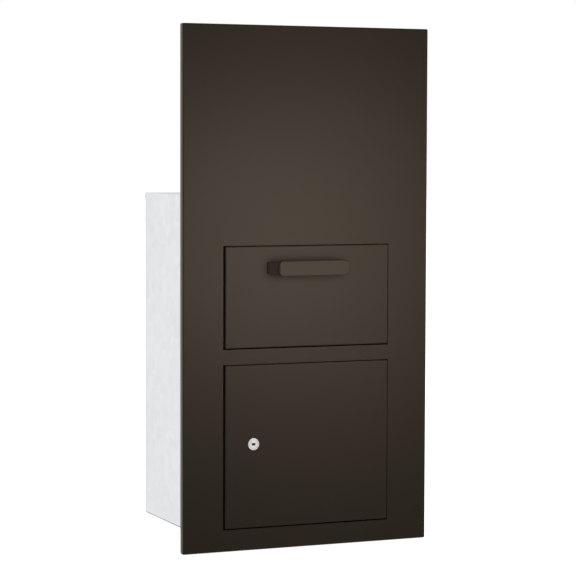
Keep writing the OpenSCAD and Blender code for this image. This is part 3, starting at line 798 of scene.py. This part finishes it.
def makeRivets():
    low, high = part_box("hopper_rivets")
    hinge = rowNamed(frame["record"]["behaviour"]["joints"], "drop_door_hinge")["pos_m"]
    fall = math.radians(roundWork["trayFall"])
    shank, head, tall = roundWork["rivetShank"], roundWork["rivetHead"], roundWork["headTall"]
    grip, thin = roundWork["grip"], 0.01 * mm
    turn = [(0, head * 0.45), (0.1 * tall, head * 0.45), (0.5 * tall, head * 0.85), (0.85 * tall, head),
            (tall, head), (tall + thin, shank), (tall + grip - thin, shank), (tall + grip, head),
            (1.15 * tall + grip, head), (1.5 * tall + grip, head * 0.85), (2 * tall + grip, head * 0.45)]
    places = []
    for x in (low.x, high.x - 2 * tall - grip):
        for along in roundWork["rivetAlong"]:
            y = hinge[1] + along * math.cos(fall) + roundWork["rivetUp"] * math.sin(fall)
            z = hinge[2] - along * math.sin(fall) + roundWork["rivetUp"] * math.cos(fall)
            places.append((x, y, z))
    rivet = turned("rivet", places[0], (1, 0, 0), turn)
    rivets = copyTo(rivet, places, places[0])
    rivets.name = "hopperRivets"
    settle(rivets, "hopper_rivets", 40)


makeWrap()
makeFixings()
makeNuts()
makeBumpers("dropDoorBumpers", "drop_door_bumpers", 2, 1)
makeBumpers("accessDoorBumpers", "access_door_bumpers", 2, 2)
makeBumpers("hopperStopBumpers", "hopper_stop_bumpers", 2, 1)
makeRivets()


for name, thing in frame["nodes"].items():
    thing.data.materials.clear()
    thing.data.materials.append(finishes[slotOf[name]])
print("finishes given to the fixed nodes")


viewPoint = {"eye": (-1.5781, -3.6300, 0.6933), "turn": 23.064, "dip": 3.587, "roll": 0.156, "lens": 139.0,
             "sensor": 36.0, "reach": 100.0}
studio = {
    "front": 0.08, "back": 1.15, "overhead": 0.6, "depthFrom": (-0.35, 0.15), "heightFrom": (0.2, 0.9),
    "floorShade": (0.86, 0.86, 0.86, 1), "floorGlow": 0.85,
    "floorSize": 60, "floorDrop": 0.3 * mm, "domeRadius": 28,
    "lamps": {
        "glow": {"spot": (0.10, -0.56, 0.53), "aim": (0, 0, 0.56), "size": 0.45, "power": 1.75},
        "glint": {"spot": (0.27, -0.92, 0.05), "aim": (-0.10, 0, 0.17), "size": 0.24, "power": 0.16},
        "side": {"spot": (-2.6, 0.9, 0.9), "aim": (-0.18, 0.2, 0.3), "size": 2.0, "power": 11.0},
        "fill": {"spot": (2.6, 1.4, 1.1), "aim": (0.18, 0.2, 0.3), "size": 2.0, "power": 22.0},
    },
}


def makeCamera():
    clearPick()
    level = Euler((math.radians(90 - viewPoint["dip"]), 0, -math.radians(viewPoint["turn"]))).to_matrix()
    tilt = level @ Matrix.Rotation(math.radians(viewPoint["roll"]), 3, "Z")
    bpy.ops.object.camera_add(location=viewPoint["eye"], rotation=tilt.to_euler())
    camera = bpy.context.object
    camera.data.lens = viewPoint["lens"]
    camera.data.sensor_width = viewPoint["sensor"]
    camera.data.clip_end = viewPoint["reach"]
    bpy.context.scene.camera = camera


def hideFromLight(thing):
    thing.visible_diffuse = False
    thing.visible_glossy = False
    thing.visible_transmission = False
    thing.visible_shadow = False


def makeFloor():
    clearPick()
    level = cadBox[0].z - studio["floorDrop"]
    bpy.ops.mesh.primitive_plane_add(size=studio["floorSize"], location=(0, 0, level))
    floor = bpy.context.object
    floor.name = "studioFloor"
    pale = Finish("paleFloor")
    place = pale.add("TexCoord", None, None, "Object")
    tone = pale.noise(place, 3.0)
    floor.data.materials.append(pale.done(
        Base_Color=studio["floorShade"], Roughness=0.7 + tone * 0.1,
        Emission_Color=(1, 1, 1, 1), Emission_Strength=studio["floorGlow"]))
    hideFromLight(floor)


def makeBackdrop():
    clearPick()
    bpy.ops.mesh.primitive_uv_sphere_add(
        radius=studio["domeRadius"], segments=48, ring_count=24, location=(0, 0, 0))
    dome = bpy.context.object
    dome.name = "studioBackdrop"
    white = Finish("paleBackdrop")
    dome.data.materials.append(white.done(
        Base_Color=(0, 0, 0, 1), Specular_IOR_Level=0.0, Emission_Color=(1, 1, 1, 1), Emission_Strength=1.0))
    hideFromLight(dome)


def makeLight(name, spot, aim, size, power):
    clearPick()
    bpy.ops.object.light_add(type="AREA", location=spot)
    lamp = bpy.context.object
    lamp.name = name
    lamp.data.size = size
    lamp.data.energy = power
    lamp.visible_camera = False
    lamp.rotation_euler = (Vector(aim) - Vector(spot)).to_track_quat("-Z", "Y").to_euler()


def makeWorld():
    world = bpy.data.worlds.new("studioWorld")
    world.use_nodes = True
    tree = world.node_tree
    light = tree.nodes["Background"]
    light.inputs["Color"].default_value = (1, 1, 1, 1)
    way = tree.nodes.new("ShaderNodeTexCoord")
    parts = tree.nodes.new("ShaderNodeSeparateXYZ")
    depth = tree.nodes.new("ShaderNodeMapRange")  # dim in front, bright behind
    height = tree.nodes.new("ShaderNodeMapRange")  # dimmer overhead
    level = tree.nodes.new("ShaderNodeMath")
    level.operation = "MULTIPLY"
    for ramp, values in ((depth, (*studio["depthFrom"], studio["front"], studio["back"])),
                         (height, (*studio["heightFrom"], 1.0, studio["overhead"]))):
        for name, value in zip(("From Min", "From Max", "To Min", "To Max"), values):
            ramp.inputs[name].default_value = value
    tree.links.new(way.outputs["Generated"], parts.inputs["Vector"])
    tree.links.new(parts.outputs["Y"], depth.inputs["Value"])
    tree.links.new(parts.outputs["Z"], height.inputs["Value"])
    tree.links.new(depth.outputs["Result"], level.inputs[0])
    tree.links.new(height.outputs["Result"], level.inputs[1])
    tree.links.new(level.outputs[0], light.inputs["Strength"])
    bpy.context.scene.world = world
    bpy.context.scene.view_settings.view_transform = "Standard"


makeCamera()
makeFloor()
makeBackdrop()
for lampName, lampWork in studio["lamps"].items():
    makeLight(lampName, **lampWork)
makeWorld()
clearPick()
print("studio ready")
